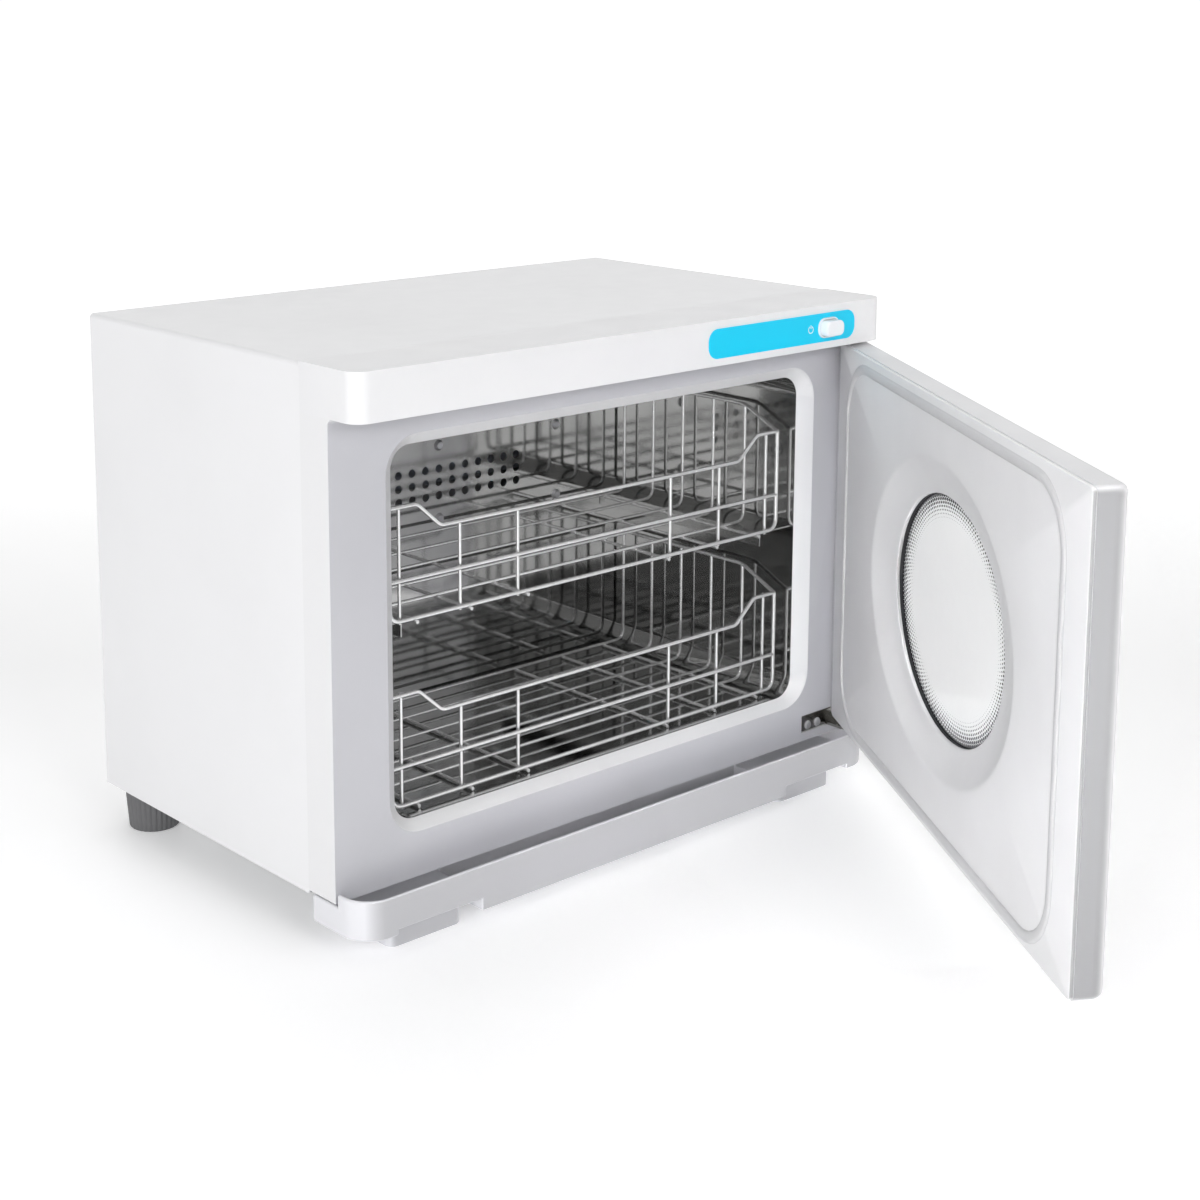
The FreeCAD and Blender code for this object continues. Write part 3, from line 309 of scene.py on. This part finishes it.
# The door's own pieces are modelled closed, so their free edge looks along -X; the shell comes
# from the CAD as it rests, so its free edge looks along the open door. On both, the free edge is
# painted darker as painted shade.
free_edge_closed = (-1, 0, 0)
free_edge_open = (-math.cos(DOOR_OPEN), -math.sin(DOOR_OPEN), 0)

white_paint = painted("white_powder_coat", (0.80, 0.80, 0.812))
front_abs = front_moulding_finish()
door_abs = moulded("door_moulding", (0.79, 0.79, 0.80), rim=(free_edge_closed, 0.4), **satin)
shell_abs = moulded("door_shell_moulding", (0.70, 0.70, 0.715), rim=(free_edge_open, 0.42), **satin)
# Painted shade: the tray's faces that look to the front are painted darker.
tray_abs = moulded(
    "tray_moulding", (0.74, 0.74, 0.77), grain=1100, rim=(TO_THE_FRONT, 0.62), **low_satin
)
button_white = moulded(
    "button_moulding", (0.86, 0.87, 0.9), (0.18, 0.28), 1800, 0.02, Coat_Weight=0.4
)
gasket_white = moulded("gasket_silicone", (0.60, 0.60, 0.61), (0.45, 0.6), 1600, 0.03)
grey_rubber = moulded("foot_rubber", (0.17, 0.17, 0.175), (0.55, 0.75), 900, 0.12, 0.8)
black_rubber = moulded("seal_rubber", (0.018, 0.018, 0.02), (0.4, 0.6), 1200)
black_plastic = moulded("black_moulding", (0.03, 0.03, 0.032), (0.3, 0.45), 1200)
cream_plastic = moulded("nylon_moulding", (0.72, 0.71, 0.66), (0.35, 0.5), 1200)
ferrite = moulded("ferrite", (0.05, 0.05, 0.052), (0.45, 0.6), 700)
liner_steel = bright_steel("liner_sheet", (0.54, 0.54, 0.535), (0.03, 0.08))
rail_steel = bright_steel("rail_sheet", (0.54, 0.54, 0.535), (0.12, 0.2), (40, 1, 40))
wire_steel = bright_steel(
    "basket_wire", (0.92, 0.92, 0.92), (0.12, 0.22), (1, 1, 1), scale=400, wave=0.05, metal=0.8
)
zinc = plated("zinc_plate", (0.68, 0.68, 0.70), metal=0.75)
hinge_steel = plated("hinge_plate", (0.40, 0.39, 0.37), (0.12, 0.24))
galvanised = plated("galvanised_sheet", (0.52, 0.53, 0.54), (0.35, 0.5), 120)
lamp_metal = plated("lamp_reflector", (0.8, 0.8, 0.81), (0.3, 0.45), 500, 0.7)
tube_glass = clear_pane("lamp_glass", (0.9, 0.94, 1.0))
window_glass = clear_pane("window_glass")
pane_print = printed_pane()
blue_film = label_film()


# ---------------------------------------------------------------- mesh helpers

hinge_at = next(
    Vector(joint["pos_m"]) for joint in frame["joints"] if joint["name"] == "door_hinge"
)
HERE = Matrix.Identity(4)
# The door is modelled closed, about the middle of its window, then turned on its hinge axis.
ON_DOOR = Matrix.Translation((hinge_at.x, hinge_at.y, 0)) @ Matrix.Rotation(DOOR_OPEN, 4, "Z")
WINDOW = ON_DOOR @ Matrix.Translation((-HINGE_X * MM, 0, WINDOW_Z * MM))


def place(piece, body, slot, material, stands_for, where=HERE):
    """Put a finished piece in the scene: its place, its body, its finish and what it replaces."""
    bpy.context.scene.collection.objects.link(piece)
    piece.matrix_world = where
    piece.data.materials.append(material)
    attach(piece, body)
    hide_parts(*stands_for)


def from_bmesh(name, bm, angle=35):
    """An object of a finished bmesh, smooth except at edges sharper than the angle."""
    bmesh.ops.recalc_face_normals(bm, faces=bm.faces)
    mesh = bpy.data.meshes.new(name)
    bm.to_mesh(mesh)
    bm.free()
    mesh.shade_smooth()
    mesh.set_sharp_from_angle(angle=math.radians(angle))
    return bpy.data.objects.new(name, mesh)


def skin(bm, rings, around=True):
    """Faces between each ring of points and the next; around joins the last ring to the first."""
    loops = [[bm.verts.new(Vector(point) * MM) for point in ring] for ring in rings]
    pairs = list(zip(loops, loops[1:]))
    if around:
        pairs.append((loops[-1], loops[0]))
    for first, second in pairs:
        count = len(first)
        for i in range(count):
            j = (i + 1) % count
            bm.faces.new((first[i], first[j], second[j], second[i]))
    return loops


def outline(x0, x1, z0, z1, radius, y, corner=8, side=22):
    """Points round an upright rectangle with rounded corners, always the same number."""
    points = []
    corners = (
        (x1 - radius, z1 - radius, 0),
        (x0 + radius, z1 - radius, 90),
        (x0 + radius, z0 + radius, 180),
        (x1 - radius, z0 + radius, 270),
    )

    def on_arc(cx, cz, degrees):
        turn = math.radians(degrees)
        return Vector((cx + radius * math.cos(turn), y, cz + radius * math.sin(turn)))

    for number, (cx, cz, first) in enumerate(corners):
        points.extend(on_arc(cx, cz, first + 90 * step / corner) for step in range(corner + 1))
        last, following = points[-1], on_arc(*corners[(number + 1) % 4])
        points.extend(last.lerp(following, step / side) for step in range(1, side))
    return points


def oval(wide, tall, y, guide):
    """Points round an oval, in the same directions from its centre as a guide outline's."""
    points = []
    for point in guide:
        turn = math.atan2(point.z / tall, point.x / wide)
        points.append(Vector((wide * math.cos(turn), y, tall * math.sin(turn))))
    return points


def even_oval(wide, tall, y, count=144):
    """Points round an oval in even steps of its own angle."""
    turns = (math.tau * step / count for step in range(count))
    return [Vector((wide * math.cos(turn), y, tall * math.sin(turn))) for turn in turns]


def bead(profile, path_inside, path_outside):
    """Rings of a strip between two like outlines: profile gives how far across and how high."""
    rings = []
    for across, high in profile:
        up = Vector((0, high, 0))
        rings.append([a.lerp(b, across) + up for a, b in zip(path_inside, path_outside)])
    return rings


def softened(node, name, width, material, slot, angle=32):
    """A moulded copy of a CAD part whose sharp edges are rounded as a mould leaves them."""
    source = frame["nodes"][node]
    bm = bmesh.new()
    bm.from_mesh(source.data)
    bmesh.ops.remove_doubles(bm, verts=bm.verts, dist=0.000005)
    bmesh.ops.dissolve_limit(bm, angle_limit=math.radians(1), verts=bm.verts, edges=bm.edges)
    piece = from_bmesh(name, bm, 40)
    rounding = piece.modifiers.new("rounding", "BEVEL")
    rounding.width = width * MM
    rounding.segments = 3
    rounding.limit_method = "ANGLE"
    rounding.angle_limit = math.radians(angle)
    rounding.use_clamp_overlap = True
    rounding.harden_normals = True
    place(piece, source["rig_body"], slot, material, (node,))


def finish_node(node, material):
    """Give a CAD part its finish without touching its shape."""
    for slot in frame["nodes"][node].material_slots:
        slot.link = "OBJECT"
        slot.material = material


# ---------------------------------------------------------------- door

def panel_outline(inset, y):
    """The inner panel's edge about the window's centre."""
    return outline(inset - 221.7, 213 - inset, inset - 135.7, 134.2 - inset, 3, y)


def make_inner_panel():
    """Inner half of the door: flat field, then an oval bowl down to the window."""
    guide = panel_outline(0, DOOR_FACE)
    edge = ((0, 7.3), (0, 9.0), (0.15, 9.35), (0.5, DOOR_FACE))
    rings = [panel_outline(inset, y) for inset, y in edge]

    bowl_rim = [(133, 102, DOOR_FACE), (130.5, 99.5, DOOR_FACE)]
    bowl_rim += [(129, 98, 9.42), (127.6, 96.6, 9.15)]
    bowl = []
    steps = 14
    for step in range(1, steps + 1):
        part = step / steps
        depth = 1 - (1 - part) ** 1.35
        bowl.append((127.6 - 25.6 * part, 96.6 - 17.1 * part, 9.15 - 6.15 * depth))
    lip = [(100.4, 78.2, 2.72), (98.4, 76.2, 2.55), (97.3, 75.2, 2.3), (97, 75, 1.9), (97, 75, 0.3)]
    behind = [(104, 82, 0.3), (131, 100, 7.3)]
    rings += [oval(wide, tall, y, guide) for wide, tall, y in bowl_rim + bowl + lip + behind]

    bm = bmesh.new()
    skin(bm, rings)
    piece = from_bmesh("door_inner_moulding", bm, 50)
    place(piece, "door", "white_abs", door_abs, ("door_inner_panel",), WINDOW)


def make_gasket():
    """Sealing bead round the door, with a low outer step and a rounded crest."""
    inside = outline(-187, 188, -126, 122, 35, DOOR_FACE)
    outside = outline(-194, 195, -133, 129, 42, DOOR_FACE)
    profile = [(0, 0)]
    for step in range(9):
        turn = math.pi * step / 8
        profile.append((0.46 - 0.42 * math.cos(turn), 0.15 + 1.05 * math.sin(turn)))
    profile.append((1, 0))
    bm = bmesh.new()
    skin(bm, bead(profile, inside, outside))
    piece = from_bmesh("door_seal_bead", bm, 60)
    place(piece, "door", "white_silicone", gasket_white, ("door_gasket",), WINDOW)


def make_panes():
    """The printed inner pane and the slightly domed outer pane, both with a ground edge."""
    ground = 0.3
    for name, (wide, tall), (back, front), dome, material, slot, side in (
        ("printed_window_pane", (101, 79), (-1.7, -4.7), 0, pane_print, "frosted", "inner"),
        ("outer_window_pane", (103.8, 81.8), (-9.0, -11.5), 0.9, window_glass, "glass", "outer"),
    ):
        bm = bmesh.new()
        rings = [
            even_oval(wide - ground, tall - ground, back),
            even_oval(wide, tall, back - ground),
            even_oval(wide, tall, front + ground),
            even_oval(wide - ground, tall - ground, front),
        ]
        for part in (0.8, 0.6, 0.4, 0.2, 0.03):
            rings.append(even_oval(wide * part, tall * part, front - dome * (1 - part * part)))
        loops = skin(bm, rings, around=False)
        bm.faces.new(loops[0])
        bm.faces.new(loops[-1])
        place(from_bmesh(name, bm), "door", slot, material, (f"window_glass_{side}",), WINDOW)


def make_window_rings():
    """Rounded black seal inside and white trim ring outside, each rising from its face at y."""
    crown = ((0, 0), (0, 0.6), (0.12, 0.9), (0.3, 1), (0.7, 1), (0.88, 0.9), (1, 0.6), (1, 0))
    for name, wide, tall, width, y, rise, material, slot, node in (
        ("window_seal_bead", 101, 79, 4.1, -1.7, 2.0, black_rubber, "black_rubber", "window_seal"),
        ("window_trim_ring", 110, 88, 10, -11.5, -1.2, door_abs, "white_abs", "window_trim"),
    ):
        rings = [
            even_oval(wide - width * across, tall - width * across, y + rise * level)
            for across, level in crown
        ]
        bm = bmesh.new()
        skin(bm, rings)
        place(from_bmesh(name, bm, 60), "door", slot, material, (node,), WINDOW)


# ---------------------------------------------------------------- baskets

def wire(curve, points, radius, bend=0.0):
    """One round wire of a curve object, straight between points with rounded corners."""
    corners = [Vector(point) * MM for point in points]
    route = [corners[0]]
    for before, corner, after in zip(corners, corners[1:], corners[2:]):
        back = (before - corner).normalized()
        ahead = (after - corner).normalized()
        reach = bend * MM / math.tan(back.angle(ahead) / 2)
        start, end = corner + back * reach, corner + ahead * reach
        for step in range(9):
            part = step / 8
            route.append(start * (1 - part) ** 2 + corner * 2 * part * (1 - part) + end * part**2)
    route.append(corners[-1])
    spline = curve.splines.new("POLY")
    spline.points.add(len(route) - 1)
    for point, position in zip(spline.points, route):
        point.co = (*position, 1)
        point.radius = radius
    spline.use_smooth = True


def make_basket(name, node, body, rise):
    """Bright wire basket with stepped front rim; radii and places are the CAD basket's."""
    half, front, pitch, hoops = 169, -99.6, 30.8, 6
    thick, thin = 1.4, 1.15
    base = 69.5 + rise
    low, raised, side_rim = base + 54, base + 70, base + 84.8
    back = front + pitch * (hoops - 1)
    curve = bpy.data.curves.new(name, "CURVE")
    curve.dimensions = "3D"
    curve.bevel_depth = MM
    curve.bevel_resolution = 5
    curve.use_fill_caps = True

    for hoop in range(hoops):
        y = front + hoop * pitch
        top, radius = (raised, thick) if hoop == 0 else (side_rim, thin)
        wire(curve, [(-half, y, top), (-half, y, base), (half, y, base), (half, y, top)], radius, 8)

    dip_outer, dip_inner = 148, 130
    rim = [(-half, raised), (-dip_outer, raised), (-dip_inner, low)]
    rim += [(-x, z) for x, z in reversed(rim)]
    wire(curve, [(x, front, z) for x, z in rim], thick, 8)
    for side in (-half, half):
        side_line = [(front, raised), (front + 31, side_rim), (back + 1.2, side_rim)]
        wire(curve, [(side, y, z) for y, z in side_line], thick, 25)
    wire(curve, [(0.5 - half, back, side_rim), (half - 0.5, back, side_rim)], 1.2)

    cross_rail = base + 24.8
    wire(curve, [(-half, front, cross_rail), (half, front, cross_rail)], thick)
    for x, top in ((67, low), (113.5, low), (160, raised)):
        for side in (-x, x):
            behind = front + 2.25
            wire(curve, [(side, behind, base - 2.6), (side, behind, top + 0.8)], thin)
    for x in (-150, -108, -62, 62, 108, 150):
        wire(curve, [(x, front - 2.5, base - 2.1), (x, back + 1.5, base - 2.1)], thin)
    place(bpy.data.objects.new(name, curve), body, "wire", wire_steel, (node,))


# ---------------------------------------------------------------- feet

def make_rear_foot(side, x):
    """Tapered rubber foot with flutes down its whole height and a screw well from below."""
    flutes, points = 30, 240
    screw_hole = [(28, 1.7, 0), (28, 4.4, 0), (0, 4.4, 0)]
    flank = [
        (0, 15.4, 0),
        (0.3, 16.2, 0.25),
        (1.1, 16.8, 0.6),
        (15, 17.9, 0.75),
        (29.5, 19, 0.75),
        (30, 18.8, 0.6),
        (30, 1.7, 0),
    ]
    rings = []
    for z, radius, flute_depth in screw_hole + flank:
        ring = []
        for step in range(points):
            turn = math.tau * step / points
            reach = radius - flute_depth * (0.5 - 0.5 * math.cos(turn * flutes)) ** 2
            ring.append((x + reach * math.cos(turn), REAR_FOOT_Y + reach * math.sin(turn), z))
        rings.append(ring)
    bm = bmesh.new()
    skin(bm, rings)
    piece = from_bmesh(f"rear_foot_rubber_{side}", bm, 60)
    place(piece, "cabinet", "grey_rubber", grey_rubber, (f"rear_foot_{side}",))


# ---------------------------------------------------------------- all pieces

make_inner_panel()
make_gasket()
make_panes()
make_window_rings()
make_basket("lower_wire_basket", "basket_lower", "lower_basket", 0)
make_basket("upper_wire_basket", "basket_upper", "upper_basket", 116.3)
softened("front_frame", "front_moulding", 1.4, front_abs, "white_abs")
softened("drip_tray", "drip_tray_moulding", 1.2, tray_abs, "white_abs")
for side, x in (("left", -REAR_FOOT_X), ("right", REAR_FOOT_X)):
    softened(f"front_foot_{side}", f"front_foot_pad_{side}", 1.6, tray_abs, "white_abs")
    make_rear_foot(side, x)
    finish_node(f"basket_rail_{side}", rail_steel)
    finish_node(f"lamp_holder_{side}", cream_plastic)
softened("button_bezel", "button_surround", 0.5, button_white, "button_white", angle=60)
softened("power_button", "power_button_cap", 0.35, button_white, "button_white", angle=60)
for node, material in {
    "outer_casing": white_paint,
    "back_panel": white_paint,
    "base_plate": galvanised,
    "casing_screws": zinc,
    "cable_inlet": black_plastic,
    "header_label": blue_film,
    "power_switch": black_plastic,
    "catch_magnets": ferrite,
    "door_sensor": black_plastic,
    "lower_hinge_bracket": hinge_steel,
    "upper_hinge_bracket": hinge_steel,
    "hinge_screws": zinc,
    "door_shell": shell_abs,
    "window_spacer": black_plastic,
    "strike_plates": zinc,
    "door_sensor_magnet": ferrite,
    "hinge_bushes": cream_plastic,
    "inner_liner": liner_steel,
    "liner_screws": zinc,
    "lamp_housing": lamp_metal,
    "uv_lamp_tube": tube_glass,
    "uv_lamp_caps": lamp_metal,
    "lamp_ballast": galvanised,
    "terminal_block": cream_plastic,
    "lamp_leads": cream_plastic,
    "foot_screws": zinc,
}.items():
    finish_node(node, material)


# ---------------------------------------------------------------- floor, light and camera

def make_floor():
    """Plain pale floor that brightens towards the white wall, so that no horizon shows."""
    m = Nodes("studio_floor")
    tone = m.blend(m.noise(3, 2), (0.92, 0.92, 0.925), (0.90, 0.90, 0.905))
    place = m.axes()
    parts = [m.maths("MULTIPLY", place[axis], factor) for axis, factor in zip("XY", FAR_WALL)]
    away = m.maths("ADD", *parts)
    m.link(m.spread(away, 0.22, 0.75, 0.3, 2.0), m.shader.inputs["Emission Strength"])
    m.shader.inputs["Emission Color"].default_value = (1, 1, 1, 1)
    material = m.finish(tone, m.spread(m.noise(20, 3), 0.5, 0.6))
    bm = bmesh.new()
    bmesh.ops.create_grid(bm, x_segments=8, y_segments=8, size=30)
    floor = from_bmesh("studio_floor", bm)
    bpy.context.scene.collection.objects.link(floor)
    floor.data.materials.append(material)


def make_light(name, where, aim, size, power, mirrored, spread=180):
    """Soft box that shines from one point of the room at another; metals mirror it if mirrored."""
    lamp = bpy.data.lights.new(name, "AREA")
    lamp.shape = "RECTANGLE"
    lamp.size, lamp.size_y = size
    lamp.energy = power
    lamp.spread = math.radians(spread)
    light = bpy.data.objects.new(name, lamp)
    bpy.context.scene.collection.objects.link(light)
    light.location = where
    light.rotation_euler = (Vector(aim) - Vector(where)).to_track_quat("-Z", "Y").to_euler()
    light.visible_glossy = mirrored


def make_room():
    """White wall behind the cabinet that fades into a dimmer room on the other sides."""
    world = bpy.data.worlds.new("studio")
    bpy.context.scene.world = world
    world.use_nodes = True
    nodes, links = world.node_tree.nodes, world.node_tree.links
    direction = nodes.new("ShaderNodeTexCoord").outputs["Generated"]

    def ramp(source, low, high, start, end):
        node = nodes.new("ShaderNodeMapRange")
        node.interpolation_type = "SMOOTHSTEP"
        links.new(source, node.inputs["Value"])
        ends = {"From Min": low, "From Max": high, "To Min": start, "To Max": end}
        for name, value in ends.items():
            node.inputs[name].default_value = value
        return node.outputs["Result"]

    split = nodes.new("ShaderNodeSeparateXYZ")
    links.new(direction, split.inputs[0])
    room = ramp(split.outputs["Y"], -0.2, 0.5, 0.3, 0.42)
    towards = nodes.new("ShaderNodeVectorMath")
    towards.operation = "DOT_PRODUCT"
    links.new(direction, towards.inputs[0])
    towards.inputs[1].default_value = (*FAR_WALL, -0.08)
    wall = ramp(towards.outputs["Value"], 0.65, 0.88, 0, 1.03)
    brighter = nodes.new("ShaderNodeMath")
    brighter.operation = "MAXIMUM"
    links.new(room, brighter.inputs[0])
    links.new(wall, brighter.inputs[1])
    background = nodes["Background"]
    links.new(brighter.outputs[0], background.inputs["Strength"])
    background.inputs["Color"].default_value = (1, 1, 1, 1)


def make_lights():
    """Soft boxes from the left, the front and above, and a weak beam onto the front's right."""
    make_light("left_box", (-2.4, -1.15, 1.1), (0, 0, 0.15), (1.4, 1.2), 33, False)
    make_light("front_box", (-0.5, -2.6, 1.3), (0, 0, 0.1), (1.2, 0.8), 22, False)
    make_light("beam", (-1.3, -1.6, 0.7), (0.24, -0.15, 0.08), (0.25, 0.25), 0.3, False, spread=20)
    make_light("top_box", (0.3, 0.2, 2.6), (0, -0.1, 0.1), (2.2, 2.2), 17, True)


def make_camera():
    lens = bpy.data.cameras.new("camera")
    lens.sensor_width = 36
    lens.lens = 62.12
    lens.shift_x = 0.025
    lens.shift_y = -0.20
    lens.clip_start, lens.clip_end = 0.05, 50
    camera = bpy.data.objects.new("camera", lens)
    bpy.context.scene.collection.objects.link(camera)
    camera.location = (-0.8831, -1.0504, 0.5536)
    camera.rotation_euler = [math.radians(turn) for turn in (80.03, -0.17, -42.02)]
    bpy.context.scene.camera = camera


bpy.context.scene.view_settings.view_transform = "Standard"
bpy.context.scene.view_settings.look = "None"
make_floor()
make_room()
make_lights()
make_camera()
